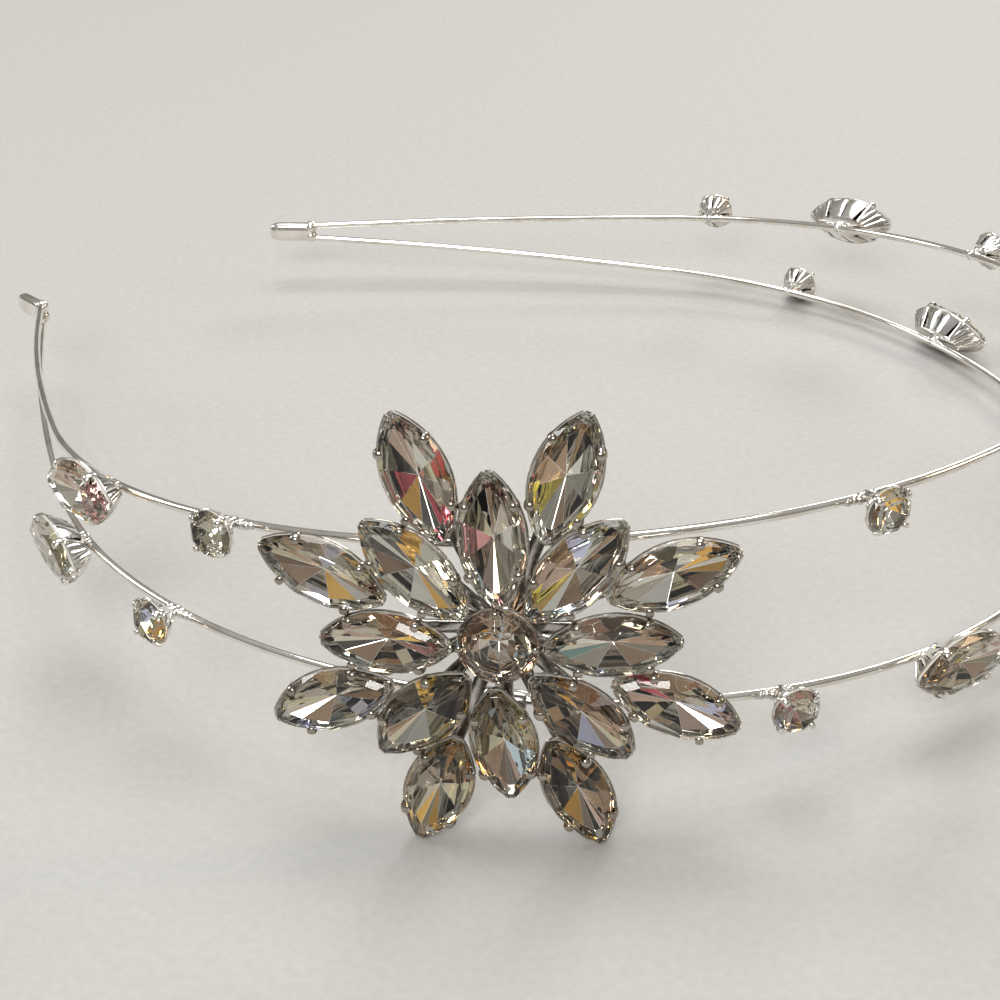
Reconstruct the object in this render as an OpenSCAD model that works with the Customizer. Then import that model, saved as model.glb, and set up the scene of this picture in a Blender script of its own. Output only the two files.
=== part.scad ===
// Headband of two silver wires with a flower of cut stones and single stones along the wires.
// It lies on its side, as it does on a table: the top of the band points along +X,
// the two ends point back towards -X, and the flower is on the -Y side.

/* [Band] */
// Radius of the wires round the top of the head
top_radius = 68; // [62:0.5:74]
// Angle of the round stretch, to each side of the top
top_half_angle = 117.6; // [112:0.2:121]
// Radius of the flatter stretch down each side
side_radius = 325; // [280:5:380]
// Angle of the flatter stretch
side_angle = 10.7; // [8:0.1:12]
// Diameter of the wire
wire_d = 1; // [0.8:0.05:1.2]
// Distance between the two wires at the top of the band
top_gap = 22.2; // [19:0.2:25]
// Distance between the two wires where they end
end_gap = 1.3; // [1.25:0.05:1.5]

/* [End sleeves] */
// Length of an end sleeve
sleeve_length = 7; // [6:0.5:9]
// Height of a sleeve, across both wires
sleeve_height = 3.1; // [2.9:0.1:4]
// Thickness of a sleeve
sleeve_thickness = 1.9; // [1.7:0.1:2.6]
// Closed metal in front of the wire ends
sleeve_tip = 0.8; // [0.6:0.1:1.5]
// Radius of the two beads at a sleeve's mouth, one round each wire
bead_r = 1.05; // [0.9:0.05:1.2]
// Outward turn of the left end, where the wires were bent at the sleeve
left_turn = 30; // [0:1:36]

/* [Navette stones] */
// Length of a navette from tip to tip
navette_length = 14.3; // [12:0.1:14.6]
// Width of a navette
navette_width = 7.2; // [6.2:0.1:7.4]
// Height of the table above the girdle
navette_crown = 1.15; // [0.9:0.05:1.4]
// Depth of the point below the girdle
navette_pavilion = 2.3; // [2:0.05:2.3]

/* [Round stones] */
// Diameter of the stone in the middle of the flower
center_d = 8.6; // [7.5:0.1:8.7]
// Height of its table above the girdle
center_crown = 1.5; // [1.1:0.1:1.8]
// Depth of its point below the girdle
center_pavilion = 2.7; // [2.2:0.1:3]
// Diameter of a small stone on a wire
round_d = 5.5; // [4.4:0.1:5.6]
// Height of its table above the girdle
round_crown = 1; // [0.7:0.05:1.2]
// Depth of its point below the girdle
round_pavilion = 1.8; // [1.4:0.05:1.9]

/* [Settings] */
// Thickness of a setting's wall and floor
wall = 0.25; // [0.2:0.01:0.3]
// Free height between a stone's girdle and the rim of its setting
rim_drop = 0.3; // [0.28:0.01:0.4]
// Free space between a stone and its setting
seat_gap = 0.06; // [0.05:0.01:0.1]
// Width of a claw
claw_width = 0.75; // [0.6:0.05:1]
// Thickness of a claw
claw_thickness = 0.24; // [0.2:0.01:0.26]
// How far a claw reaches in over the stone
claw_reach = 0.55; // [0.4:0.05:0.7]
// Distance of a navette's claws from its middle, along its length
claw_station = 3.8; // [3.4:0.1:4.2]

/* [Flower] */
// Angle from the top of the band to the middle of the flower
flower_angle = 53.7; // [48:0.1:58]
// Turn of the flower in its own plane
flower_turn = 1.7; // [0:0.1:4]
// Distance of the inner petals' middles from the flower's middle
inner_radius = 11.85; // [11.8:0.05:12.2]
// Height of the inner petals' girdle in front of the wires
inner_height = 4.9; // [4.8:0.1:5.4]
// Backward slope of the inner petals
inner_slope = 8.2; // [6:0.1:9]
// Distance of the outer petals' middles from the flower's middle
outer_radius = 19.65; // [19.6:0.05:20]
// Height of the outer petals' girdle in front of the wires
outer_height = 3.8; // [3.7:0.05:3.9]
// Backward slope of the outer petals
outer_slope = 6.4; // [5:0.1:8]
// Height of the middle stone's girdle in front of the wires
center_height = 5.3; // [5:0.1:5.8]

/* [Stones on the wires] */
// Height of a wire navette's girdle above its wire
navette_height = 4.1; // [4:0.05:4.4]
// Height of a small round's girdle above its wire
round_height = 4; // [3.6:0.05:4.4]

/* [As it lies] */
// Lean about X of the band as it rests on the flower's tips
rest_roll = -6.299; // [-8:0.001:8]
// Lean about Y of the band as it rests on the flower's tips
rest_pitch = -2.74; // [-6:0.001:6]
// Place of the band's end line on the table, along X
rest_x = -79.569; // [-90:0.001:90]
// Place of the band's end line on the table, along Y
rest_y = -0.14; // [-20:0.001:20]
// Height of the band's end line above the table
rest_z = 12.319; // [0:0.001:40]

/* [Hidden] */
$fn = 64;
NAVETTE = "navette";
ROUND = "round";
// Stones along each wire: kind of stone, degrees from the top of the band (minus is the flower's side)
// and upward lean about the wire
upper_stones = [
    [NAVETTE, -98.5, 0],
    [ROUND, -79.9, 0],
    [ROUND, -20, -7],
    [NAVETTE, 2.5, 0],
    [ROUND, 25, 0],
    [NAVETTE, 47.5, 0],
    [ROUND, 70.1, 0],
    [NAVETTE, 92.6, 5],
    [ROUND, 111.5, 5]
];
lower_stones = [
    [NAVETTE, -107, -7],
    [ROUND, -88.8, 0],
    [ROUND, -28, -3],
    [NAVETTE, -10, 0],
    [ROUND, 12.4, 0],
    [NAVETTE, 34.6, 0],
    [ROUND, 56, 0],
    [NAVETTE, 76, 25],
    [ROUND, 99.5, 4]
];
petals = 8;
petal_step = 360 / petals;
// Small turns of the petals in their own planes, uneven as in soldered work by hand
inner_turns = [0, 0, 2.5, 2.5, 0.5, 0, 4, -0.5];
outer_turns = [-2.5, 2.5, -2.5, -1.5, -2.5, 1, -2, -2.5];

// Band: plan view, with the wire ends on the line x = 0
end_angle = top_half_angle + side_angle;
side_center = top_radius - side_radius;
side_end = [
    side_center * cos(top_half_angle) + side_radius * cos(end_angle),
    side_center * sin(top_half_angle) + side_radius * sin(end_angle)
];
top_center = sleeve_length * sin(end_angle) - side_end[0];
band_depth = top_center + top_radius;
// Each wire lies flat in a plane that leans away from the other wire
wire_lean = atan((top_gap - end_gap) / 2 / band_depth);
wire_r = wire_d / 2;
bore_length = sleeve_length - sleeve_tip;
// Radius of a sleeve's crowned tip, as a share of its height
tip_roundness = 0.7;
lap = 0.01;
lap_length = 0.6;

// Stones: the girdle is a thin band under the widest outline
girdle = 0.3;
round_girdle = 0.2;
navette_table = 0.72;
center_table = 0.6;
round_table = 0.6;
navette_sides = 18;
round_sides = 16;
// A navette's outline is two arcs that would meet this far beyond its blunt tips.
// They have this radius, and their centres lie this far off the long axis
tip_cut = 0.4;
arc_r = (pow(navette_length / 2 + tip_cut, 2) + pow(navette_width / 2, 2)) / navette_width;
arc_off = arc_r - navette_width / 2;

// Settings: the rim stays a little inside the stone's outline
floor_gap = 0.1;
rim_inset = 0.05;
cup_floor = 0.4;
navette_depth = girdle + navette_pavilion + floor_gap + cup_floor;
center_depth = girdle + center_pavilion + floor_gap + wall;
round_depth = round_girdle + round_pavilion + floor_gap + wall;
// Half sizes of a navette setting's floor
floor_half_length = 4.6;
floor_half_width = 1.6;
// A round setting narrows to this share of its width under an upright collar
round_floor = 0.45;
collar = 0.6;
claw_foot = 0.7;
claw_bevel = 0.15;
// Angle of the first claw: off the wire's line on a small stone, on a petal's axis at the flower's middle
round_claws_at = 45;
center_claws_at = 0;
stem_r = 1.1;
stem_tip_r = 0.75;

// Flower: a spider of bars in front of the wires carries the settings
bar_back = 0.6;
bar_thickness = 0.5;
bar_width = 1.6;
inner_bar_reach = 15;
outer_bar_reach = 18;
hub_r = 2.4;
post_r = 0.9;
tube_r = 1.15;
tube_gap = 0.12;
tube_length = 5;

function lens_y(x) = sqrt(arc_r * arc_r - x * x) - arc_off;
// Outline of a navette stone: one side from tip to tip, then back along the other
function navette_outline() = let (n = navette_sides / 2, half = navette_length / 2)
    [for (side = [1, -1]) for (k = [0:n - 1])
        let (x = side * half * cos(180 * k / (n - 1))) [x, side * lens_y(x)]];
function round_outline(d) = [for (k = [0:round_sides - 1])
    let (a = 360 * k / round_sides) d / 2 * [cos(a), sin(a)]];

// Cut stone: flat table, a row of crown facets, a girdle and a row of facets down to the point
module cut_stone(outline, table, crown, girdle_h, pavilion) {
    n = len(outline);
    points = concat(
        [for (p = outline) [p[0] * table, p[1] * table, crown]],
        [for (p = outline) [p[0], p[1], 0]],
        [for (p = outline) [p[0], p[1], -girdle_h]],
        [[0, 0, -girdle_h - pavilion]]
    );
    table_face = [[for (k = [n - 1:-1:0]) k]];
    bands = [for (row = [0, n]) for (k = [0:n - 1])
        let (next = (k + 1) % n) [row + k, row + next, row + n + next, row + n + k]];
    point_faces = [for (k = [0:n - 1]) [2 * n + k, 2 * n + (k + 1) % n, 3 * n]];
    color([0.86, 0.84, 0.8]) polyhedron(points, concat(table_face, bands, point_faces));
}
module navette_stone() cut_stone(navette_outline(), navette_table, navette_crown, girdle, navette_pavilion);
module center_cut()
    cut_stone(round_outline(center_d), center_table, center_crown, girdle, center_pavilion);
module small_round()
    cut_stone(round_outline(round_d), round_table, round_crown, round_girdle, round_pavilion);

// Outline of a navette setting, grown by extra all round, with blunt tips
module navette_shape(extra) intersection() {
    translate([0, -arc_off]) circle(arc_r + extra);
    translate([0, arc_off]) circle(arc_r + extra);
    circle(navette_length / 2 + extra);
}
// Tapered slab of the given height, wider at its top and longer than any navette
module taper(height, half_top, half_floor) rotate([90, 0, 0])
    linear_extrude(2 * navette_length, center = true)
        polygon([[-half_floor, 0], [half_floor, 0], [half_top, height], [-half_top, height]]);
module boat(extra) {
    height = navette_depth - girdle - rim_drop;
    intersection() {
        linear_extrude(height) navette_shape(extra);
        taper(height, navette_length / 2, floor_half_length);
        rotate(90) taper(height, navette_width / 2, floor_half_width);
    }
}

// Claw: up the outside of the stone and bent in over its crown. The stone's outline is x = 0
module claw(girdle_h, top) rotate([90, 0, 0]) linear_extrude(claw_width, center = true) let (
    back = seat_gap + claw_thickness,
    root = -rim_inset - wall / 2,
    rim = -girdle_h - rim_drop
) polygon([
    [root, rim - claw_foot],
    [back, rim - claw_foot],
    [back, top - claw_bevel],
    [back - claw_bevel, top],
    [-claw_reach, top],
    [-claw_reach, top - claw_thickness],
    [seat_gap, top - claw_thickness],
    [seat_gap, rim],
    [root, rim]
]);
// Height at which a claw clears a crown that rises from the girdle to the table
function claw_top(crown, inset) = crown * claw_reach / inset + 2 * seat_gap + claw_thickness;

// Boat-shaped cup, open at the top, with two claws near each tip
module navette_setting() {
    claw_angle = asin(claw_station / arc_r);
    translate([0, 0, -navette_depth]) difference() {
        boat(-rim_inset);
        translate([0, 0, cup_floor]) boat(-rim_inset - wall);
    }
    for (side = [90, 270]) for (a = [-claw_angle, claw_angle])
        rotate(side) translate([-arc_off, 0, 0]) rotate(a) translate([arc_r, 0, 0])
            claw(girdle, claw_top(navette_crown, navette_width / 2 * (1 - navette_table)));
}

// Round cup that narrows to its floor, with four claws, the first at the given angle
module round_setting(d, depth, crown, girdle_h, table, first_claw) {
    r = d / 2 - rim_inset;
    height = depth - girdle_h - rim_drop;
    translate([0, 0, -depth]) rotate_extrude() polygon([
        [0, 0],
        [round_floor * r, 0],
        [r, height - collar],
        [r, height],
        [r - wall, height],
        [r - wall, height - collar],
        [round_floor * r, wall],
        [0, wall]
    ]);
    for (k = [0:3])
        rotate(first_claw + 90 * k) translate([d / 2, 0, 0])
            claw(girdle_h, claw_top(crown, d / 2 * (1 - table)));
}

// Cone of solder from the wire to the floor of a setting
module solder_stem(height) cylinder(h = height, r1 = stem_tip_r, r2 = stem_r);

// Direction of a wire end. Side is 0 at the right end and 1 at the left one
function end_turn(side) = end_angle + 180 - side * left_turn;
// Wire in its own plane: round top, two flatter sides and two straight ends of the given length.
// A hair-thin lap at the top's ends, and a ball at each bend, join the stretches into one solid
module wire_path(r, reach) {
    translate([top_center, 0, 0]) {
        rotate_extrude(angle = 2 * top_half_angle, start = -top_half_angle)
            translate([top_radius, 0]) circle(r);
        for (side = [0, 1]) mirror([0, side, 0]) {
            translate([side_center * cos(top_half_angle), side_center * sin(top_half_angle), 0])
                rotate_extrude(angle = side_angle, start = top_half_angle)
                    translate([side_radius, 0]) circle(r);
            rotate(top_half_angle) translate([top_radius, 0, 0]) rotate([90, 0, 0])
                cylinder(h = lap_length, r = r + lap, center = true);
            translate([side_end[0], side_end[1], 0]) rotate([90, 0, end_turn(side)]) {
                cylinder(h = reach, r = r);
                sphere(r + lap);
            }
        }
    }
}
// Plane of the upper (1) or lower (-1) wire
module wire_plane(level) translate([0, 0, level * end_gap / 2]) rotate([0, -level * wire_lean, 0]) children();
// Place on the round top of a wire: x along the wire, z outwards
module on_top(angle) translate([top_center, 0, 0]) rotate([90, 0, 90 + angle])
    translate([0, 0, top_radius]) children();

module wire_stone(stone) rotate([-stone[2], 0, 0]) {
    if (stone[0] == NAVETTE) translate([0, 0, navette_height]) navette_stone();
    else translate([0, 0, round_height]) small_round();
}
module wire_setting(stone) rotate([-stone[2], 0, 0]) {
    if (stone[0] == NAVETTE) {
        translate([0, 0, navette_height]) navette_setting();
        solder_stem(navette_height - navette_depth + cup_floor / 2);
    } else {
        translate([0, 0, round_height])
            round_setting(round_d, round_depth, round_crown, round_girdle, round_table, round_claws_at);
        solder_stem(round_height - round_depth + wall / 2);
    }
}

// The band as it lies on the table
module at_rest() translate([rest_x, rest_y, rest_z]) rotate([rest_roll, rest_pitch, 0]) children();
// Flower's own frame: x along the band towards its top, y up, z outwards
module in_flower() translate([top_center, 0, 0]) rotate([90, 0, 90 - flower_angle])
    translate([0, 0, top_radius]) rotate(flower_turn) children();
module at_inner(i) rotate((i - 1) * petal_step) translate([inner_radius, 0, inner_height])
    rotate([0, inner_slope, 0]) rotate(inner_turns[i - 1]) children();
module at_outer(i) rotate((i - 0.5) * petal_step) translate([outer_radius, 0, outer_height])
    rotate([0, outer_slope, 0]) rotate(outer_turns[i - 1]) children();

module banded_wire(level, stones) color("silver") at_rest() wire_plane(level) {
    wire_path(wire_r, bore_length - seat_gap);
    for (stone = stones) on_top(stone[1]) wire_setting(stone);
}
module upper_wire() banded_wire(1, upper_stones);
module lower_wire() banded_wire(-1, lower_stones);

// Flat ferrule with a crowned tip and two beads at its mouth, bored for the two wire ends
module end_sleeve(side) color("silver") at_rest() {
    flat = sleeve_height - sleeve_thickness;
    tip_r = tip_roundness * sleeve_height;
    bead_height = end_gap / 2 + (top_center + side_end[0]) * tan(wire_lean);
    difference() {
        mirror([0, side, 0]) translate([top_center + side_end[0], side_end[1], 0])
        rotate([90, 0, end_turn(side)]) {
            intersection() {
                linear_extrude(sleeve_length) {
                    for (y = [-flat / 2, flat / 2]) translate([0, y]) circle(sleeve_thickness / 2);
                    square([sleeve_thickness, flat], center = true);
                }
                rotate([0, 90, 0]) linear_extrude(sleeve_height, center = true)
                    translate([tip_r - sleeve_length, 0]) {
                        circle(tip_r);
                        translate([0, -sleeve_height / 2]) square([sleeve_length, sleeve_height]);
                    }
            }
            for (y = [-bead_height, bead_height]) translate([0, y, 0]) sphere(bead_r);
        }
        for (level = [1, -1]) wire_plane(level) wire_path(wire_r + seat_gap, bore_length);
    }
}
module left_end_sleeve() end_sleeve(1);
module right_end_sleeve() end_sleeve(0);

// Tube round one wire behind the flower, with the wire's own arc as its bore
module wire_tube(level) {
    half = tube_length / 2 / top_radius * 180 / PI;
    wire_plane(level) translate([top_center, 0, 0])
        rotate_extrude(angle = 2 * half, start = -flower_angle - half)
            translate([top_radius, 0]) difference() {
                circle(tube_r);
                circle(wire_r + tube_gap);
            }
}
module flower_spider() {
    inner_floor = inner_height - navette_depth + cup_floor / 2;
    translate([0, 0, bar_back]) {
        linear_extrude(bar_thickness) for (i = [1:petals]) {
            rotate((i - 1) * petal_step)
                translate([0, -bar_width / 2]) square([inner_bar_reach, bar_width]);
            rotate((i - 0.5) * petal_step)
                translate([0, -bar_width / 2]) square([outer_bar_reach, bar_width]);
        }
        cylinder(h = center_height - center_depth + wall / 2 - bar_back, r = hub_r);
        for (i = [1:petals]) rotate((i - 1) * petal_step) translate([inner_radius, 0, 0])
            cylinder(h = inner_floor - bar_back, r = post_r);
    }
}
module flower_mount() color("silver") at_rest() {
    for (level = [1, -1]) wire_tube(level);
    in_flower() {
        flower_spider();
        translate([0, 0, center_height])
            round_setting(center_d, center_depth, center_crown, girdle, center_table, center_claws_at);
        for (i = [1:petals]) {
            at_inner(i) navette_setting();
            at_outer(i) navette_setting();
        }
    }
}

module center_stone() at_rest() in_flower() translate([0, 0, center_height]) center_cut();
module inner_petal(i) at_rest() in_flower() at_inner(i) navette_stone();
module outer_petal(i) at_rest() in_flower() at_outer(i) navette_stone();
module upper_stone(i) at_rest() wire_plane(1) on_top(upper_stones[i - 1][1]) wire_stone(upper_stones[i - 1]);
module lower_stone(i) at_rest() wire_plane(-1) on_top(lower_stones[i - 1][1]) wire_stone(lower_stones[i - 1]);

upper_wire();
lower_wire();
left_end_sleeve();
right_end_sleeve();
flower_mount();
center_stone();
for (i = [1:petals]) inner_petal(i);
for (i = [1:petals]) outer_petal(i);
for (i = [1:len(upper_stones)]) upper_stone(i);
for (i = [1:len(lower_stones)]) lower_stone(i);
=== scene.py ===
# Looks of the crystal headband: silver wires, claw settings and foiled glass stones.
# All is built in millimetres in the band's own frame, as in the CAD source, and then laid at rest in metres
import math
import random

import bmesh
import bpy
from mathutils import Matrix, Vector


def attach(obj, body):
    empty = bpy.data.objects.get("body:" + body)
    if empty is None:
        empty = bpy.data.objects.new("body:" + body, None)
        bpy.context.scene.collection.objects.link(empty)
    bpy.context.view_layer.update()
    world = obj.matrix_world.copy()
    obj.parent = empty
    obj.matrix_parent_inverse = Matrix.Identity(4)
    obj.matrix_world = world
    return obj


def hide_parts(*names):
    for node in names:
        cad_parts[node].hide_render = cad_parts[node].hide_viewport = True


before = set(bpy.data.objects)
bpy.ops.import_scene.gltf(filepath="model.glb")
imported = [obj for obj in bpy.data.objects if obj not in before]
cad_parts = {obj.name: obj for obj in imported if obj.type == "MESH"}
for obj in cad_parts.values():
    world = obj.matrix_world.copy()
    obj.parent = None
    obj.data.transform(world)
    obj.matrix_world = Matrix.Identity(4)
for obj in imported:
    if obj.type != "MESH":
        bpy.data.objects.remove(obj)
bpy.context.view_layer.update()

# Camera, at the photograph's angle
CAMERA_AT = (0.1728, -0.1782, 0.14354)
CAMERA_TURN = (59.2714, 3.4595, 43.0374)
CAMERA_LENS = 72.635
CAMERA_CLIP = 0.01

# Band, as in the CAD source
TOP_RADIUS = 68
TOP_HALF_ANGLE = 117.6
SIDE_RADIUS = 325
SIDE_ANGLE = 10.7
TOP_GAP = 22.2
END_GAP = 1.3
WIRE_R = 0.5
SLEEVE_LENGTH = 7
SLEEVE_HALF = (0.95, 1.55)
WIRE_IN_SLEEVE = 6.14
LEFT_TURN = 30
FLOWER_ANGLE = 53.7
FLOWER_TURN = 1.7

# Stones. A navette's outline is two arcs round centres off its long axis
NAVETTE_HALF = (7.15, 3.6)
ARC_R = 9.717
ARC_OFF = ARC_R - NAVETTE_HALF[1]
NAVETTE_STEPS = 10
ROUND_R = 2.75
CENTER_R = 4.3

# Rings of petals: the turns are each petal's own, in its own plane
INNER = dict(
    radius=11.85, height=4.9, slope=8.2, start=0, turns=(0, 0, 2.5, 2.5, 0.5, 0, 4, -0.5),
)
OUTER = dict(
    radius=19.65, height=3.8, slope=6.4, start=22.5, turns=(-2.5, 2.5, -2.5, -1.5, -2.5, 1, -2, -2.5),
)
CENTER_HEIGHT = 5.3

# Stones along the wires: kind, degrees from the top of the band, upward lean
UPPER_STONES = (
    ("navette", -98.5, 0), ("round", -79.9, 0), ("round", -20, -7), ("navette", 2.5, 0), ("round", 25, 0),
    ("navette", 47.5, 0), ("round", 70.1, 0), ("navette", 92.6, 5), ("round", 111.5, 5),
)
LOWER_STONES = (
    ("navette", -107, -7), ("round", -88.8, 0), ("round", -28, -3), ("navette", -10, 0), ("round", 12.4, 0),
    ("navette", 34.6, 0), ("round", 56, 0), ("navette", 76, 25), ("round", 99.5, 4),
)
# Heights over the wire's middle line, of the girdle and of the solder stem's top
GIRDLE_HEIGHT = {"navette": 4.1, "round": 4}
STEM_TOP = {"navette": 1.3, "round": 2.0}

# Cuts. Each tier is a ring of corners: its share of the outline along and across, and its height over the
# girdle. Crown tiers end with the table, and pavilion tiers end above the point
NAVETTE_CUT = dict(
    girdle=0.3, crown=((0.95, 0.9, 0.66), (0.81, 0.7, 1.15)),
    pavilion=((0.93, 0.88, -0.6), (0.78, 0.74, -1.15)), point=-2.6,
)
ROUND_CUT = dict(
    girdle=0.2, crown=((0.9, 0.9, 0.5), (0.64, 0.64, 1.0)),
    pavilion=((0.88, 0.88, -0.42), (0.6, 0.6, -1.0)), point=-2.0,
)
CENTER_CUT = dict(
    girdle=0.3, crown=((0.86, 0.86, 0.85), (0.56, 0.56, 1.5)),
    pavilion=((0.9, 0.9, -0.6), (0.72, 0.72, -1.25), (0.48, 0.48, -1.95), (0.24, 0.24, -2.6)), point=-3.0,
)

# Foil colours seen through the glass. Grey, taupe, beige, olive, brown and rose are the foil's own colours
# White and pale are painted highlights, dark is painted reflection of dark surroundings, and the strong
# colours are painted fire
TONES = {
    "white": (0.88, 0.86, 0.80),
    "pale": (0.80, 0.78, 0.71),
    "grey": (0.66, 0.66, 0.60),
    "taupe": (0.56, 0.50, 0.42),
    "beige": (0.74, 0.67, 0.55),
    "olive": (0.63, 0.58, 0.41),
    "brown": (0.48, 0.33, 0.22),
    "rose": (0.54, 0.40, 0.33),
    "dark": (0.13, 0.12, 0.105),
    "amber": (1.0, 0.58, 0.14),
    "yellow": (0.95, 0.78, 0.12),
    "lavender": (0.68, 0.71, 0.94),
    "blue": (0.66, 0.82, 0.94),
    "teal": (0.46, 0.72, 0.70),
    "crimson": (0.80, 0.12, 0.16),
    "pink": (0.78, 0.38, 0.37),
}
# Range of shades of a tone, and the colour of the fine bevel where two facets meet: a painted highlight line
SHADES = (0.85, 1.1)
PAINTED_EDGE_HIGHLIGHT = (0.95, 0.93, 0.9)


def palette(**shares):
    """List of tones, each as often as its share."""
    return [tone for tone, share in shares.items() for _ in range(share)]


# Palettes of a stone: next to the girdle, on the rest of the skirt, and round the point. The first two are
# mostly white and pale, painted highlights along the girdle and at the tips
RIM = palette(white=9, pale=5, grey=2, beige=3, taupe=1)
GLINTS = palette(white=7, pale=4, grey=2, beige=3, dark=3, taupe=1, amber=1, lavender=1, blue=1)
COMMON = palette(taupe=5, olive=3, beige=4, brown=4, rose=2, pale=3, grey=1, dark=1, amber=1)
CLEAR = (RIM, GLINTS, COMMON)
# The center stone, and the stones with darker tones, have one palette throughout. On the lower petals the
# darker, warmer palette is painted shade; on the two round stones on the left it gives their browner tones
WARM = (palette(brown=8, rose=4, taupe=3, dark=4, beige=1, blue=1, amber=1),) * 3
DARK_TONES_AND_PAINTED_SHADE = (palette(brown=4, olive=5, dark=4, taupe=4, beige=2, grey=1, amber=1),) * 3
DARK_AND_PAINTED_SHADE_STONES = (
    "inner_petal_6", "inner_petal_7", "outer_petal_6", "outer_petal_7", "upper_stone_2", "lower_stone_2",
)

# Chosen tones of the facets round each stone's point. They are counted anticlockwise from the stone's own +X,
# which is a petal's outer tip. A navette's 5 and 11 are the narrow ones at its tips
# Their white and pale are painted highlights, dark is painted reflection of dark surroundings, and the strong
# colours are painted fire
INNER_ACCENTS = {
    1: {6: "teal", 8: "rose", 9: "brown", 10: "taupe"},
    2: {1: "lavender", 2: "brown", 3: "rose", 4: "yellow", 6: "white"},
    3: {0: "white", 2: "pink", 3: "brown", 4: "rose", 5: "brown"},
    4: {1: "brown", 2: "grey", 4: "amber", 8: "white", 10: "dark"},
    5: {0: "dark", 1: "brown", 3: "pale", 4: "pink", 6: "amber"},
    6: {0: "grey", 1: "pale", 7: "amber", 8: "dark", 9: "dark"},
    7: {0: "rose", 1: "blue", 9: "brown", 10: "brown"},
    8: {0: "brown", 6: "dark", 8: "brown", 9: "lavender", 10: "rose"},
}
OUTER_ACCENTS = {
    1: {0: "amber", 1: "pale", 2: "dark", 7: "white", 9: "brown", 10: "amber"},
    2: {1: "brown", 2: "brown", 3: "yellow", 5: "taupe", 8: "grey", 9: "white"},
    3: {1: "dark", 2: "crimson", 3: "amber", 4: "dark", 5: "dark", 6: "crimson"},
    4: {0: "brown", 3: "amber", 4: "pale", 8: "lavender", 10: "brown"},
    5: {0: "rose", 1: "brown", 3: "lavender", 6: "beige", 7: "dark"},
    6: {0: "amber", 1: "grey", 10: "amber"},
    7: {0: "rose", 2: "dark", 9: "amber", 10: "rose"},
    8: {0: "lavender", 4: "crimson", 7: "olive", 8: "grey", 9: "rose", 11: "rose"},
}
# The center stone's white facet is a painted highlight
CENTER_ACCENTS = {0: "white"}
WIRE_ACCENTS = {
    "upper_stone_1": {3: "rose", 4: "brown", 9: "pink"},
    "upper_stone_2": {1: "brown", 2: "rose", 5: "olive"},
    "upper_stone_3": {1: "beige", 2: "beige", 3: "blue", 6: "white"},
    "lower_stone_1": {2: "pink", 3: "brown", 8: "olive"},
    "lower_stone_2": {0: "amber", 4: "lavender"},
    "lower_stone_3": {0: "beige", 5: "white", 6: "pink", 7: "rose"},
    "lower_stone_4": {3: "yellow", 4: "brown", 8: "olive"},
}


def steps(start, stop, n):
    """Numbers from start to stop in n equal steps."""
    return [start + (stop - start) * k / n for k in range(n + 1)]


# Places
def move(x, y, z):
    return Matrix.Translation((x, y, z))


def turn(degrees, axis):
    return Matrix.Rotation(math.radians(degrees), 4, axis)


def up(z):
    return Vector((0, 0, z))


def direction(degrees):
    return Vector((math.cos(math.radians(degrees)), math.sin(math.radians(degrees)), 0))


END_ANGLE = TOP_HALF_ANGLE + SIDE_ANGLE
SIDE_CENTER = (TOP_RADIUS - SIDE_RADIUS) * direction(TOP_HALF_ANGLE)
SIDE_END = SIDE_CENTER + SIDE_RADIUS * direction(END_ANGLE)
TOP_CENTER = SLEEVE_LENGTH * math.sin(math.radians(END_ANGLE)) - SIDE_END.x
WIRE_LEAN = math.degrees(math.atan((TOP_GAP - END_GAP) / 2 / (TOP_CENTER + TOP_RADIUS)))
# Place on the surface, on its own lowest points
AT_REST = move(-79.569, -0.14, 12.319) @ turn(-2.74, "Y") @ turn(-6.299, "X")
TO_METRES = Matrix.Scale(0.001, 4) @ AT_REST
IN_FLOWER = (
    move(TOP_CENTER, 0, 0) @ turn(90 - FLOWER_ANGLE, "Z") @ turn(90, "X")
    @ move(0, 0, TOP_RADIUS) @ turn(FLOWER_TURN, "Z")
)


def wire_plane(level):
    """Plane of the upper (1) or lower (-1) wire."""
    return move(0, 0, level * END_GAP / 2) @ turn(-level * WIRE_LEAN, "Y")


def on_top(angle):
    """Place on the round top of a wire: x along the wire, z outwards."""
    return move(TOP_CENTER, 0, 0) @ turn(90 + angle, "Z") @ turn(90, "X") @ move(0, 0, TOP_RADIUS)


def at_petal(ring, i):
    """Place of petal i, counted from 0: x out from the flower's middle, z to its front."""
    in_ring = turn(ring["start"] + 45 * i, "Z") @ move(ring["radius"], 0, ring["height"])
    return IN_FLOWER @ (in_ring @ turn(ring["slope"], "Y") @ turn(ring["turns"][i], "Z"))


def at_wire_stone(level, angle, lean):
    """Place on the wire under one of its stones: x along the wire, z towards the stone."""
    return wire_plane(level) @ on_top(angle) @ turn(-lean, "X")


# Materials
GLASS_IOR = 1.54


def material(name, **values):
    """Material, its node tree and its shader, with values set on the shader's own sockets."""
    m = bpy.data.materials.new(name)
    m.use_nodes = True
    shader = m.node_tree.nodes["Principled BSDF"]
    for socket, value in values.items():
        shader.inputs[socket.replace("_", " ")].default_value = value
    return m, m.node_tree, shader


def noise(tree, scale, detail=3.0, stretch=(1, 1, 1)):
    """Noise over the object's own coordinates, in metres."""
    where = tree.nodes.new("ShaderNodeTexCoord")
    mapping = tree.nodes.new("ShaderNodeMapping")
    mapping.inputs["Scale"].default_value = stretch
    texture = tree.nodes.new("ShaderNodeTexNoise")
    texture.inputs["Scale"].default_value = scale
    texture.inputs["Detail"].default_value = detail
    tree.links.new(where.outputs["Object"], mapping.inputs["Vector"])
    tree.links.new(mapping.outputs["Vector"], texture.inputs["Vector"])
    return texture.outputs["Fac"]


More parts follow.
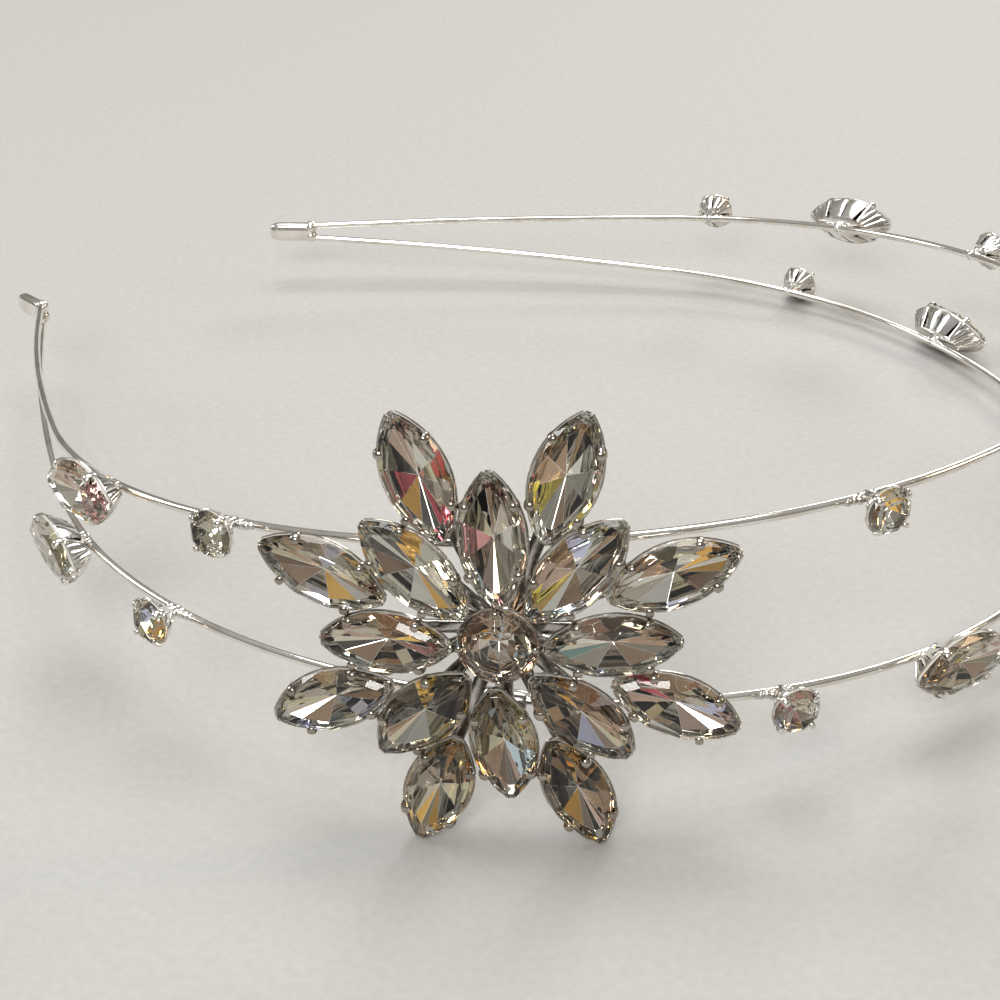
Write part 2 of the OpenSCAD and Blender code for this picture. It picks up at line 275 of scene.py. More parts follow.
def spread(tree, factor, low, high, start=0.3, end=0.7):
    """Number between low and high, as the factor goes from start to end."""
    node = tree.nodes.new("ShaderNodeMapRange")
    node.inputs["From Min"].default_value = start
    node.inputs["From Max"].default_value = end
    node.inputs["To Min"].default_value = low
    node.inputs["To Max"].default_value = high
    tree.links.new(factor, node.inputs["Value"])
    return node.outputs["Result"]


def mix(tree, factor, a, b):
    """Mix of two colours, each a colour or a socket."""
    node = tree.nodes.new("ShaderNodeMix")
    node.data_type = "RGBA"
    # The node's sockets for colours are its inputs 6 and 7 and its output 2
    for socket, value in ((node.inputs[0], factor), (node.inputs[6], a), (node.inputs[7], b)):
        if isinstance(value, bpy.types.NodeSocket):
            tree.links.new(value, socket)
        else:
            socket.default_value = (*value, 1)
    return node.outputs[2]


def bump(tree, height, shader, strength, distance):
    node = tree.nodes.new("ShaderNodeBump")
    node.inputs["Strength"].default_value = strength
    node.inputs["Distance"].default_value = distance
    tree.links.new(height, node.inputs["Height"])
    tree.links.new(node.outputs["Normal"], shader.inputs["Normal"])


def metal(name, clean, dull, roughness, dents):
    """Plated metal with faint cloudy tarnish, uneven polish and small dents."""
    m, tree, shader = material(name, Metallic=1.0)
    tarnish = spread(tree, noise(tree, scale=220, detail=4), 0, 1, start=0.42, end=0.72)
    polish = spread(tree, noise(tree, scale=900, detail=2), *roughness)
    tree.links.new(mix(tree, tarnish, clean, dull), shader.inputs["Base Color"])
    tree.links.new(polish, shader.inputs["Roughness"])
    bump(tree, noise(tree, scale=1400, detail=3), shader, strength=dents, distance=0.0001)
    return m


def glass():
    """Clear glass, very slightly uneven in colour."""
    m, tree, shader = material(
        "crystal_glass", IOR=GLASS_IOR, Transmission_Weight=1.0, Specular_IOR_Level=0.5, Roughness=0.0,
    )
    clouds = spread(tree, noise(tree, scale=160), 0, 1)
    tree.links.new(mix(tree, clouds, (1.0, 1.0, 0.99), (0.95, 0.97, 0.96)), shader.inputs["Base Color"])
    return m


def ground_edge():
    """Girdle of a stone, ground and not polished."""
    m, tree, shader = material(
        "ground_edge", IOR=GLASS_IOR, Transmission_Weight=0.6, Base_Color=(0.96, 0.96, 0.93, 1),
    )
    tree.links.new(spread(tree, noise(tree, scale=2500, detail=2), 0.35, 0.55), shader.inputs["Roughness"])
    return m


def foil(name, metallic, roughness=None):
    """Foil behind the glass, a mirror or frosted: each facet has its own tint, partly painted highlight and
    painted reflection, under a faint streaky haze.
    """
    m, tree, shader = material(name, Metallic=metallic, Roughness=0.0)
    tint = tree.nodes.new("ShaderNodeAttribute")
    tint.attribute_name = "tint"
    haze = spread(tree, noise(tree, scale=700, detail=4, stretch=(1, 1, 2.5)), 0.0, 0.14, start=0.4, end=0.75)
    tree.links.new(mix(tree, haze, tint.outputs["Color"], (0.72, 0.68, 0.62)), shader.inputs["Base Color"])
    if roughness:
        tree.links.new(spread(tree, noise(tree, scale=400, detail=2), *roughness), shader.inputs["Roughness"])
    return m


SILVER = metal("polished_silver", (0.90, 0.88, 0.84), (0.70, 0.65, 0.57), (0.05, 0.14), dents=0.08)
# The flower's claws are a darker copy of the silver: painted reflection of dark surroundings
CLAWS_PAINTED_DARK = metal("claw_silver_painted_dark", (0.44, 0.40, 0.35), (0.26, 0.23, 0.19), (0.06, 0.16), dents=0.12)
SETTING = metal("setting_silver", (0.86, 0.85, 0.82), (0.52, 0.47, 0.40), (0.08, 0.2), dents=0.15)
# The flower's plates and spider are a darker copy of the silver: painted shade between and behind the petals
GALLERY_PAINTED_SHADE = metal("gallery_silver_painted_shade", (0.58, 0.56, 0.53), (0.30, 0.27, 0.24), (0.12, 0.28), dents=0.2)
SOLDER = metal("solder", (0.78, 0.77, 0.75), (0.45, 0.42, 0.38), (0.12, 0.34), dents=0.5)
GLASS = glass()
EDGE = ground_edge()
FOIL = foil("foil", metallic=1.0)
RIM_FOIL = foil("rim_foil", metallic=0.0, roughness=(0.3, 0.45))

# Material slots of a stone, and the slot of a setting's plates. All else has the first slot
STONE_MATERIALS = (GLASS, FOIL, RIM_FOIL, EDGE)
GLASS_SLOT, FOIL_SLOT, RIM_SLOT, EDGE_SLOT = range(4)
PLATE_SLOT = 1


# Mesh tools
def loft(bm, rings, closed=False, slot=0):
    """Skin over equal rings of points, closed into a loop or capped at both ends, in one material slot."""
    made = [[bm.verts.new(p) for p in ring] for ring in rings]
    following = made[1:] + made[:1] if closed else made[1:]
    n = len(made[0])
    faces = []
    for a, b in zip(made, following):
        for k in range(n):
            faces.append(bm.faces.new((a[k], a[(k + 1) % n], b[(k + 1) % n], b[k])))
            faces[-1].smooth = True
    if not closed:
        faces += [bm.faces.new(made[0][::-1]), bm.faces.new(made[-1])]
    for f in faces:
        f.material_index = slot


def oval(center, a, b, sides, squareness=1.0):
    """Ring round center with half axes a and b. A squareness under 1 fills its corners."""
    ring = []
    for k in range(sides):
        t = 2 * math.pi * (k + 0.5) / sides
        c, s = math.cos(t), math.sin(t)
        along = math.copysign(abs(c) ** squareness, c)
        across = math.copysign(abs(s) ** squareness, s)
        ring.append(center + a * along + b * across)
    return ring


def sweep(bm, path, side, sizes, sides=10, closed=False, squareness=1.0):
    """Oval carried along a path in one plane, whose normal is side.
    sizes is its half width along side and its half thickness, one pair or a list with one for each point."""
    rings = []
    for k, p in enumerate(path):
        before = path[k - 1] if k or closed else p
        after = path[(k + 1) % len(path)] if k < len(path) - 1 or closed else p
        out = side.cross(after - before).normalized()
        wide, thick = sizes[k] if isinstance(sizes, list) else sizes
        rings.append(oval(p, side * wide, out * thick, sides, squareness))
    loft(bm, rings, closed)


def lathe(bm, profile, place=Matrix(), sides=24):
    """Solid of revolution round z. profile is pairs of radius and height, from bottom to top."""
    turns = [direction(360 * k / sides) for k in range(sides)]
    loft(bm, [[place @ (t * r + up(z)) for t in turns] for r, z in profile])


def arc(center, radius, start, stop, step):
    """Points on an arc of a circle, about step degrees apart."""
    n = max(1, round(abs(stop - start) / step))
    return [center + radius * direction(a) for a in steps(start, stop, n)]


def template(build, *args, **kwargs):
    """Mesh of a part that is used several times. build makes it in a bmesh."""
    bm = bmesh.new()
    build(bm, *args, **kwargs)
    mesh = bpy.data.meshes.new("template")
    bm.to_mesh(mesh)
    bm.free()
    return mesh


def stamp(bm, mesh, place):
    """Copy of a template, put in place."""
    first = len(bm.verts)
    bm.from_mesh(mesh)
    bm.verts.ensure_lookup_table()
    bmesh.ops.transform(bm, matrix=place, verts=bm.verts[first:])


def piece(name, bm, materials, node, sharp=40):
    """Object of the headband that stands for a CAD node. Edges over sharp degrees are sharp."""
    bmesh.ops.recalc_face_normals(bm, faces=bm.faces)
    bmesh.ops.transform(bm, matrix=TO_METRES, verts=bm.verts)
    mesh = bpy.data.meshes.new(name)
    bm.to_mesh(mesh)
    bm.free()
    mesh.set_sharp_from_angle(angle=math.radians(sharp))
    for m in materials:
        mesh.materials.append(m)
    made = bpy.data.objects.new(name, mesh)
    bpy.context.scene.collection.objects.link(made)
    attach(made, "root")
    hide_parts(node)


# Stones
def navette_ring():
    """Points of the girdle, and the numbers of those where the table's corners are."""
    points = []
    for half in (1, -1):
        for k in range(NAVETTE_STEPS + 1):
            p = Vector((half * NAVETTE_HALF[0] * math.cos(math.pi * k / NAVETTE_STEPS), 0, 0))
            p.y = half * (math.sqrt(ARC_R ** 2 - p.x ** 2) - ARC_OFF)
            points.append(p)
    second = NAVETTE_STEPS + 1
    return points, [*range(0, second, 2), *range(second, 2 * second, 2)]


def round_ring(radius, corners):
    """Points of the girdle, and the numbers of those where the table's corners are."""
    points = [radius * direction(180 * (k - 1) / corners) for k in range(2 * corners)]
    return points, list(range(0, 2 * corners, 2))


# Girdle and cut by kind of stone
STONES = {
    "navette": (navette_ring(), NAVETTE_CUT),
    "round": (round_ring(ROUND_R, corners=8), ROUND_CUT),
    "center": (round_ring(CENTER_R, corners=10), CENTER_CUT),
}


def cut_stone(bm, ring, cut):
    """Faceted stone: ground girdle, glass crown and table, and a foiled pavilion.
    Returns the pavilion's faces, a list for each tier from the girdle to the point."""
    points, corners = ring
    n = len(points)
    edges = list(zip(corners, corners[1:] + corners[:1]))

    def level(along, across, z, chosen=range(n)):
        return {k: bm.verts.new((points[k].x * along, points[k].y * across, z)) for k in chosen}

    def belt(tier, outer):
        """Facets from an outer ring, whole or of corners only, to a ring of corners."""
        inner = level(*tier, corners)
        made = []
        for a, b in edges:
            if (b - a) % n == 2 and a + 1 in outer:
                # The girdle's point between two corners parts the facet in three
                m = outer[a + 1]
                made += [(inner[a], outer[a], m), (inner[a], m, inner[b]), (inner[b], m, outer[b])]
            else:
                made += [(inner[a], outer[a], outer[b]), (inner[a], outer[b], inner[b])]
        return inner, [bm.faces.new(f) for f in made]

    top, bottom = level(1, 1, 0), level(1, 1, -cut["girdle"])
    for k in range(n):
        side = bm.faces.new((top[k], top[(k + 1) % n], bottom[(k + 1) % n], bottom[k]))
        side.material_index = EDGE_SLOT
    for tier in cut["crown"]:
        top, _ = belt(tier, top)
    bm.faces.new([top[k] for k in corners])
    tiers = []
    for tier in cut["pavilion"]:
        bottom, made = belt(tier, bottom)
        tiers.append(made)
    point = bm.verts.new((0, 0, cut["point"]))
    tiers.append([bm.faces.new((bottom[a], bottom[b], point)) for a, b in edges])
    for k, tier in enumerate(tiers):
        for f in tier:
            f.material_index = FOIL_SLOT if k else RIM_SLOT
    bmesh.ops.recalc_face_normals(bm, faces=bm.faces)
    return tiers


# Share of the half length beyond which the skirt has the girdle's palette, for painted highlights at the tips
TIP_FROM = 0.62
# Widths of the fine bevels between facets, of the foil first and then of the glass
BEVELS = ((FOIL_SLOT, 0.02), (GLASS_SLOT, 0.04))


def stone(name, node, kind, place, accents, palettes=CLEAR):
    """Stone with tones from its palettes. accents gives the tone of chosen facets round its point.
    Every facet takes its draw, also one with an accent, so that an accent changes no other facet."""
    chance = random.Random(node)
    ring, cut = STONES[kind]
    edge, outer, inner = palettes
    bm = bmesh.new()
    tint = bm.loops.layers.float_color.new("tint")
    rim, *middle, star = cut_stone(bm, ring, cut)
    skirt = [f for tier in middle for f in tier]
    reach = TIP_FROM * max(p.x for p in ring[0])
    tones = [chance.choice(edge) for _ in rim]
    tones += [chance.choice(edge if abs(f.calc_center_median().x) > reach else outer) for f in skirt]
    tones += [accents.get(k, chance.choice(inner)) for k in range(len(star))]
    for f, tone in zip(rim + skirt + star, tones):
        shade = chance.uniform(*SHADES)
        for corner in f.loops:
            corner[tint] = (*(min(1.0, c * shade) for c in TONES[tone]), 1)
    # The bevels' faces take the painted highlight colour, which shows on the foil as a bright line
    for slot, width in BEVELS:
        edges = [e for e in bm.edges if all(f.material_index == slot for f in e.link_faces)]
        made = bmesh.ops.bevel(bm, geom=edges, offset=width, segments=1, affect="EDGES", clamp_overlap=True)
        for f in made["faces"]:
            f.material_index = slot
            for corner in f.loops:
                corner[tint] = (*PAINTED_EDGE_HIGHLIGHT, 1)
    bmesh.ops.transform(bm, matrix=place, verts=bm.verts)
    piece(name, bm, STONE_MATERIALS, node, sharp=1)


# Settings: how far the plates of a gallery stand under the girdle, and how far claws lean in for each mm down
RIM_DROP = 0.38
ROUND_RIM_DROP = 0.28
CLAW_LEAN = 0.74
# Plates: thickness, how far their ends stand back from the outline, and how round their top edge is
PLATE_THICK = 0.24
PLATE_BACK = 0.08
PLATE_ROUND = 0.06
# Knee of a plate: its share of the way down, how far it stands out at the plate's ends, and how much more in
# the plate's middle
KNEE_AT = 0.35
KNEE_OUT = (0.05, 0.28)

# Navette's setting. Angles are on the outline's arcs, from its middle
CLAW_AT = 23.0
TIP_AT = 47
PLATES_AT = ((0.9, 19.4), (26.6, 32.5), (33.7, 39.6), (40.8, 47.2))
PLATE_STEP = 2.4
RAIL_STEPS = 24
OUTLINE_STEPS = 16
NAVETTE_DEPTH = 3.05
NAVETTE_FLOOR = (4.6 / NAVETTE_HALF[0], 1.6 / NAVETTE_HALF[1])
# Prong at each tip: distance along the stone, height, half width, half thickness
TIP_PRONG = (
    (4.7, -2.9, 0.3, 0.12), (6.1, -1.6, 0.34, 0.12), (6.95, -0.8, 0.36, 0.12), (7.2, -0.35, 0.34, 0.11),
    (7.22, -0.1, 0.15, 0.06),
)
# Floor plate: share of the gallery's foot, height
NAVETTE_PLATE = ((0.9, -3.1), (1.0, -3.02), (1.0, -2.82), (0.9, -2.75))
# Rail over the plates: distance out, height, half width and half thickness
NAVETTE_RAIL = (0.04, -0.4, (0.1, 0.09))

# Round settings: plates, half the angle of each, share of the outline at its foot, and claws
ROUND_PLATES = 8
ROUND_PLATE_HALF = 15
ROUND_FLOOR = 0.47
ROUND_CLAWS = 4
ROUND_PLATE_STEPS = 6
ROUND_RAIL_STEPS = 48
# Floor plate: share of the gallery's foot, height over it
ROUND_PLATE = ((0.8, -0.05), (1, 0.02), (1, 0.22), (0.8, 0.3))
ROUND_RAIL = (0.02, -0.32, (0.09, 0.08))


def lens(t, half):
    """Point and outward normal of a navette's outline, t degrees from its middle, on its +Y or -Y half."""
    n = Vector((math.sin(math.radians(t)), half * math.cos(math.radians(t)), 0))
    return ARC_R * n - Vector((0, half * ARC_OFF, 0)), n


def wall(bm, stations, floor, depth, rim):
    """Plate of a gallery: it stands under the stone's outline, leans in to the floor and swells outwards.
    stations are points and normals of the outline. floor is the share of the outline at the plate's foot."""
    rings = []
    for k, (p, n) in enumerate(stations):
        swell = math.sin(math.pi * k / (len(stations) - 1))
        top = p + (PLATE_BACK * swell - PLATE_BACK) * n + up(rim)
        foot = Vector((p.x * floor[0], p.y * floor[1], -depth))
        knee = top.lerp(foot, KNEE_AT) + (KNEE_OUT[0] + KNEE_OUT[1] * swell) * n
        inner = -PLATE_THICK * n
        outside = [foot, knee, top - up(PLATE_ROUND), top + 0.3 * inner]
        inside = [top + 0.7 * inner, top + inner - up(PLATE_ROUND), knee + inner, foot + inner]
        rings.append(outside + inside)
    loft(bm, rings, slot=PLATE_SLOT)


def claw(bm, p, n, foot, crown, over=0.62, width=0.44):
    """Claw up the sloping gallery from its foot and over the stone's crown, with a flat rounded tip.
    p and n are the outline's point and normal. over is how far it reaches in over the crown."""
    # Each row: distance out from the outline, height, share of the width, half thickness
    low = [foot, 0.7 * foot, 0.4 * foot]
    shape = [(0.05 + CLAW_LEAN * (z + RIM_DROP), z, 0.85, 0.12) for z in low]
    shape += [
        (-0.02, -0.6, 0.88, 0.13),
        (0.12, -0.3, 0.9, 0.14),
        (0.17, 0.1, 0.9, 0.14),
        (0.14, 0.5 * crown, 0.92, 0.15),
        (0.0, 0.84 * crown, 0.96, 0.16),
        (-0.18, crown, 1, 0.16),
        (-0.34, crown + 0.02, 1.04, 0.17),
        (-over, crown, 0.97, 0.16),
        (-over - 0.14, crown - 0.03, 0.74, 0.12),
        (-over - 0.22, crown - 0.06, 0.35, 0.05),
    ]
    side = up(1).cross(n).normalized()
    path = [p + out * n + up(z) for out, z, _, _ in shape]
    sweep(bm, path, side, [(width * share, thick) for _, _, share, thick in shape], sides=12)


def navette_setting(bm):
    """Gallery of 16 plates, four claws, a rail on each side, a prong at each tip and a floor plate."""
    out, height, size = NAVETTE_RAIL
    for half in (1, -1):
        for start, stop in PLATES_AT:
            angles = steps(start, stop, max(4, round((stop - start) / PLATE_STEP)))
            for sign in (1, -1):
                stations = [lens(sign * a, half) for a in angles]
                wall(bm, stations, NAVETTE_FLOOR, NAVETTE_DEPTH, -RIM_DROP)
        for t in (-CLAW_AT, CLAW_AT):
            claw(bm, *lens(t, half), foot=-2.9, crown=0.84)
        along = [lens(a, half) for a in steps(-TIP_AT, TIP_AT, RAIL_STEPS)]
        sweep(bm, [p + out * n + up(height) for p, n in along], up(1), size, sides=8)
    for end in (1, -1):
        path = [Vector((end * x, 0, z)) for x, z, _, _ in TIP_PRONG]
        sweep(bm, path, Vector((0, 1, 0)), [(wide, thick) for _, _, wide, thick in TIP_PRONG], sides=10)
    outline = []
    for half in (1, -1):
        for a in steps(TIP_AT, -TIP_AT, OUTLINE_STEPS):
            p, _ = lens(half * a, half)
            outline.append(Vector((p.x * NAVETTE_FLOOR[0], p.y * NAVETTE_FLOOR[1], 0)))
    loft(bm, [[p * share + up(z) for p in outline] for share, z in NAVETTE_PLATE], slot=PLATE_SLOT)


def round_setting(bm, radius, depth, first, claw_foot, claw_top):
    """Gallery of plates, claws from the angle first on, a rail and a floor plate."""
    out, height, size = ROUND_RAIL
    pitch = 360 / ROUND_PLATES
    for k in range(ROUND_PLATES):
        middle = first + pitch * (k + 0.5)
        angles = steps(middle - ROUND_PLATE_HALF, middle + ROUND_PLATE_HALF, ROUND_PLATE_STEPS)
        stations = [(radius * direction(a), direction(a)) for a in angles]
        wall(bm, stations, (ROUND_FLOOR, ROUND_FLOOR), depth, -ROUND_RIM_DROP)
    for k in range(ROUND_CLAWS):
        n = direction(first + 360 / ROUND_CLAWS * k)
        claw(bm, radius * n, n, claw_foot, claw_top, over=0.5, width=0.34)
    rail = [(radius + out) * direction(a) + up(height) for a in steps(0, 360, ROUND_RAIL_STEPS)[:-1]]
    sweep(bm, rail, up(1), size, sides=8, closed=True)
    lathe(bm, [(ROUND_FLOOR * radius * share, -depth + z) for share, z in ROUND_PLATE])


SETTINGS = {
    "navette": template(navette_setting),
    "round": template(round_setting, ROUND_R, depth=2.3, first=45, claw_foot=-2.15, claw_top=0.78),
    "center": template(round_setting, CENTER_R, depth=3.3, first=0, claw_foot=-3.1, claw_top=0.8),
}


# Wires: a point halfway in the right sleeve, and in the left one the bend's length and its share of the turn
HALF_IN_SLEEVE = 3
BEND_LENGTH = 0.6
BEND_SHARE = 0.8


def wire_path():
    """Middle line of a wire in its own plane, from the right end to the left one, which has a bend."""
    def mirrored(p):
        return Vector((p.x, -p.y, p.z))

    def leaving(turn_back):
        a = math.radians(END_ANGLE + 180 - turn_back)
        return Vector((math.sin(a), -math.cos(a), 0))

    side = arc(SIDE_CENTER, SIDE_RADIUS, END_ANGLE, TOP_HALF_ANGLE, step=1.1)
    top = arc(Vector(), TOP_RADIUS, TOP_HALF_ANGLE, -TOP_HALF_ANGLE, step=1.5)
    right = [SIDE_END + WIRE_IN_SLEEVE * leaving(0), SIDE_END + HALF_IN_SLEEVE * leaving(0)]
    bend = SIDE_END + BEND_LENGTH * leaving(LEFT_TURN * BEND_SHARE)
    left = [bend, SIDE_END + WIRE_IN_SLEEVE * leaving(LEFT_TURN)]
    line = right + side + top[1:] + [mirrored(p) for p in side[::-1][1:] + left]
    return [Vector((TOP_CENTER, 0, 0)) + p for p in line]


def wire(name, node, level):
    bm = bmesh.new()
    sweep(bm, wire_path(), up(1), (WIRE_R, WIRE_R), sides=20)
    bmesh.ops.transform(bm, matrix=wire_plane(level), verts=bm.verts)
    piece(name, bm, (SILVER,), node)


def wire_settings(name, node, level, stones):
    """Settings of the stones along one wire, of one metal throughout."""
    bm = bmesh.new()
    for kind, angle, lean in stones:
        stamp(bm, SETTINGS[kind], at_wire_stone(level, angle, lean) @ move(0, 0, GIRDLE_HEIGHT[kind]))
    piece(name, bm, (SETTING, SETTING), node)


# Solder. The stem's profile under its top: radius, height
STEM = ((0.35, -0.5), (0.56, -0.3), (0.64, 0.2), (0.72, 0.7))
# Beads along the wire: distance from the stem, height, radius. One more is on the stem's other side
BEADS = ((1.05, 0.32, 0.66), (1.8, 0.25, 0.56), (2.45, 0.18, 0.5), (3.0, 0.11, 0.42))
BACK_BEAD = (0.9, 0.2, 0.6)
BEAD_STRETCH = Vector((1.1, 1, 0.9))
# How far a bead may be off its place, along the wire and across it
BEAD_OFF = (0.1, 0.12)


def bead(bm, at, radius, place):
    """Slightly flattened bead, drawn out along the wire."""
    made = bmesh.ops.create_icosphere(bm, subdivisions=2, radius=radius)["verts"]
    for v in made:
        v.co = place @ (Vector(a * b for a, b in zip(v.co, BEAD_STRETCH)) + at)
    for face in {f for v in made for f in v.link_faces}:
        face.smooth = True


def solder(name, node, level, stones):
    """Solder stem under each setting along one wire, with beads along the wire towards the flower."""
    bm = bmesh.new()
    for number, (kind, angle, lean) in enumerate(stones):
        chance = random.Random(f"{name}{number}")
        place = at_wire_stone(level, angle, lean)
        top = STEM_TOP[kind]
        lathe(bm, [*STEM, (1.0, top), (0.9, top + 0.15)], place)
        along = -1 if angle > -FLOWER_ANGLE else 1
        for distance, height, r in BEADS:
            x = along * (distance + chance.uniform(-BEAD_OFF[0], BEAD_OFF[0]))
            y = chance.uniform(-BEAD_OFF[1], BEAD_OFF[1])
            bead(bm, Vector((x, y, height)), r, place)
        distance, height, r = BACK_BEAD
        bead(bm, Vector((-along * distance, 0, height)), r, place)
    piece(name, bm, (SOLDER,), node)


# Sleeve: distance from its mouth, share of its full size. Its mouth has a bead round each wire
SLEEVE_SHAPE = (
    (0, 0.86), (0.25, 0.94), (0.8, 0.99), (3, 1.0), (5.4, 1.0),
    (6.1, 0.93), (6.6, 0.78), (6.9, 0.52), (7.0, 0.2),
)
MOUTH_BEAD_R = 1.05
MOUTH_BEAD_AT = 0.78


def sleeve(name, node, left):
    """Flat ferrule with a crowned tip and a bead round each wire at its mouth, at one end of the band."""
    bm = bmesh.new()
    half_thick, half_high = SLEEVE_HALF
    rings = []
    for z, scale in SLEEVE_SHAPE:
        # Towards its ends the sleeve narrows more than it thins
        thick = half_thick * min(1.0, scale * 1.08)
        half_axes = Vector((thick, 0, 0)), Vector((0, half_high * scale, 0))
        rings.append(oval(up(z), *half_axes, sides=32, squareness=0.72))
    loft(bm, rings)
    angles = [math.radians(a) for a in range(8, 180, 12)]
    profile = [(MOUTH_BEAD_R * math.sin(a), -MOUTH_BEAD_R * math.cos(a)) for a in angles]
    for level in (1, -1):
        lathe(bm, profile, move(0, level * MOUTH_BEAD_AT, 0))
    heading = END_ANGLE + 180 - (LEFT_TURN if left else 0)
    place = move(TOP_CENTER + SIDE_END.x, SIDE_END.y, 0) @ turn(heading, "Z") @ turn(90, "X")
    if left:
        place = Matrix.Diagonal((1, -1, 1, 1)) @ place
    bmesh.ops.transform(bm, matrix=place, verts=bm.verts)
    piece(name, bm, (SILVER,), node)


# Flower's back: reach of the bars under each ring, their height, and half width and half thickness along them
INNER_REACH = 15
OUTER_REACH = 18
BAR_HEIGHT = 0.85
BAR_SIZES = [(0.8, 0.25), (0.8, 0.25), (0.8, 0.25), (0.74, 0.24), (0.5, 0.16)]
# Profiles of the posts and the hub: radius, height
POST = ((1.25, 0.9), (1.0, 1.15), (0.9, 1.5), (0.95, 1.95), (1.2, 2.2))
HUB = ((1.9, 0.42), (2.5, 0.6), (2.6, 1.15), (2.35, 1.5), (2.2, 2.0), (2.0, 2.2))
TUBE_LENGTH = 5
TUBE_R = 1.15
TUBE_MOUTH_R = 1.0
TUBE_STEPS = 8


def bar(bm, reach):
    """Flat bar from the flower's middle along x, rounded off at its end."""
    path = [Vector((x, 0, BAR_HEIGHT)) for x in (0, reach * 0.3, reach * 0.7, reach - 0.3, reach)]
    sweep(bm, path, Vector((0, 1, 0)), BAR_SIZES, sides=16, squareness=0.55)


def tube(bm):
    """Tube that holds a wire behind the flower, in the wire's own plane."""
    half = math.degrees(TUBE_LENGTH / 2 / TOP_RADIUS)
    angles = steps(-FLOWER_ANGLE - half, -FLOWER_ANGLE + half, TUBE_STEPS)
    path = [Vector((TOP_CENTER, 0, 0)) + TOP_RADIUS * direction(a) for a in angles]
    radii = [TUBE_MOUTH_R, *[TUBE_R] * (TUBE_STEPS - 1), TUBE_MOUTH_R]
    sweep(bm, path, up(1), [(r, r) for r in radii], sides=24)


def flower_back():
    """Spider of bars behind the flower, its hub and posts, and the two tubes that hold the wires."""
    bm = bmesh.new()
    inner_bar = template(bar, INNER_REACH)
    outer_bar = template(bar, OUTER_REACH)
    wire_tube = template(tube)
    for k in range(8):
        stamp(bm, inner_bar, IN_FLOWER @ turn(45 * k, "Z"))
        stamp(bm, outer_bar, IN_FLOWER @ turn(45 * k + OUTER["start"], "Z"))
        lathe(bm, POST, IN_FLOWER @ turn(45 * k, "Z") @ move(INNER["radius"], 0, 0))
    lathe(bm, HUB, IN_FLOWER)
    for level in (1, -1):
        stamp(bm, wire_tube, wire_plane(level))
    piece("flower_spider", bm, (GALLERY_PAINTED_SHADE,), "flower_mount")


def flower_settings():
    bm = bmesh.new()
    stamp(bm, SETTINGS["center"], IN_FLOWER @ move(0, 0, CENTER_HEIGHT))
    for ring in (INNER, OUTER):
        for i in range(8):
            stamp(bm, SETTINGS["navette"], at_petal(ring, i))
    piece("flower_claws", bm, (CLAWS_PAINTED_DARK, GALLERY_PAINTED_SHADE), "flower_mount")


def flower_stones():
    for i in range(8):
        for ring, kind, accents in ((INNER, "inner", INNER_ACCENTS), (OUTER, "outer", OUTER_ACCENTS)):
            node = f"{kind}_petal_{i + 1}"
            palettes = DARK_TONES_AND_PAINTED_SHADE if node in DARK_AND_PAINTED_SHADE_STONES else CLEAR
            stone(f"{kind}_crystal_{i + 1}", node, "navette", at_petal(ring, i), accents[i + 1], palettes)
    middle = IN_FLOWER @ move(0, 0, CENTER_HEIGHT)
    stone("center_crystal", "center_stone", "center", middle, CENTER_ACCENTS, WARM)


def wire_stones(side, level, stones):
    for i, (kind, angle, lean) in enumerate(stones):
        node = f"{side}_stone_{i + 1}"
        palettes = DARK_TONES_AND_PAINTED_SHADE if node in DARK_AND_PAINTED_SHADE_STONES else CLEAR
        place = at_wire_stone(level, angle, lean) @ move(0, 0, GIRDLE_HEIGHT[kind])
        stone(f"{side}_crystal_{i + 1}", node, kind, place, WIRE_ACCENTS.get(node, {}), palettes)


# Studio
LAMP_TARGET = Vector((0, -0.02, 0.02))


def photo_camera():
    camera = bpy.data.objects.new("camera", bpy.data.cameras.new("camera"))
    bpy.context.scene.collection.objects.link(camera)
    camera.location = CAMERA_AT
    camera.rotation_euler = [math.radians(a) for a in CAMERA_TURN]
    camera.data.lens = CAMERA_LENS
    camera.data.clip_start = CAMERA_CLIP
    bpy.context.scene.camera = camera


def floor(half_size):
    """Plain pale floor with a faint speckle."""
    bm = bmesh.new()
    bmesh.ops.create_grid(bm, x_segments=1, y_segments=1, size=half_size)
    mesh = bpy.data.meshes.new("floor")
    bm.to_mesh(mesh)
    bm.free()
    m, tree, shader = material("floor", Roughness=0.75)
    speckle = spread(tree, noise(tree, scale=900, detail=4), 0, 1)
    tree.links.new(mix(tree, speckle, (0.405, 0.40, 0.385), (0.37, 0.365, 0.35)), shader.inputs["Base Color"])
    mesh.materials.append(m)
    made = bpy.data.objects.new("floor", mesh)
    bpy.context.scene.collection.objects.link(made)


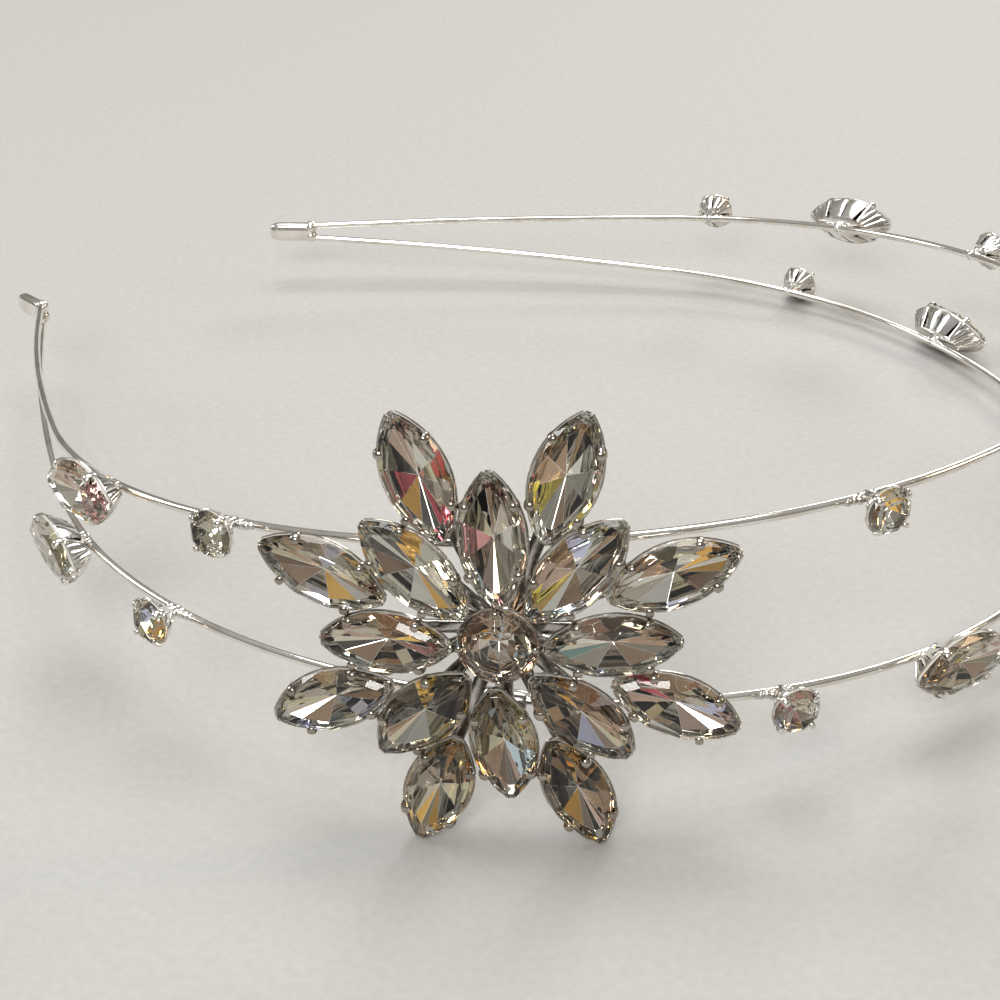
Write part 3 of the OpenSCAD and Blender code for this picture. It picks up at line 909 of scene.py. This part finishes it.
def lamp(name, at, size, power, color):
    """Oval softbox that faces the headband."""
    data = bpy.data.lights.new(name, "AREA")
    data.shape = "ELLIPSE"
    data.size, data.size_y = size
    data.energy = power
    data.color = color
    made = bpy.data.objects.new(name, data)
    bpy.context.scene.collection.objects.link(made)
    made.location = at
    made.rotation_euler = (LAMP_TARGET - Vector(at)).to_track_quat("-Z", "Y").to_euler()


def room():
    """Grey room, darker towards the horizon and brighter overhead."""
    world = bpy.data.worlds.new("studio")
    world.use_nodes = True
    tree = world.node_tree
    where = tree.nodes.new("ShaderNodeTexCoord")
    parts = tree.nodes.new("ShaderNodeSeparateXYZ")
    tree.links.new(where.outputs["Generated"], parts.inputs["Vector"])
    shade = spread(tree, parts.outputs["Z"], 0.0, 1.0, start=0.05, end=0.9)
    color = mix(tree, shade, (0.22, 0.21, 0.19), (0.45, 0.44, 0.42))
    tree.links.new(color, tree.nodes["Background"].inputs["Color"])
    bpy.context.scene.world = world


photo_camera()
wire("upper_band", "upper_wire", 1)
wire("lower_band", "lower_wire", -1)
wire_settings("upper_claws", "upper_wire", 1, UPPER_STONES)
wire_settings("lower_claws", "lower_wire", -1, LOWER_STONES)
solder("upper_solder", "upper_wire", 1, UPPER_STONES)
solder("lower_solder", "lower_wire", -1, LOWER_STONES)
sleeve("left_tip", "left_end_sleeve", left=True)
sleeve("right_tip", "right_end_sleeve", left=False)
flower_back()
flower_settings()
flower_stones()
wire_stones("upper", 1, UPPER_STONES)
wire_stones("lower", -1, LOWER_STONES)

floor(half_size=4)
lamp("key", (0.42, -0.62, 0.62), (0.45, 0.35), 5.5, (1, 0.985, 0.96))
lamp("top", (-0.1, 0.1, 0.85), (0.65, 0.6), 5.4, (1, 0.99, 0.98))
lamp("side", (-0.75, -0.35, 0.5), (0.25, 0.45), 2.6, (0.94, 0.97, 1))
lamp("warm", (0.5, 0.5, 0.4), (0.2, 0.2), 1.0, (1, 0.7, 0.42))
lamp("back", (-0.3, 0.75, 0.4), (0.35, 0.2), 2.2, (1, 0.98, 0.95))
room()
bpy.context.scene.view_settings.view_transform = "Standard"
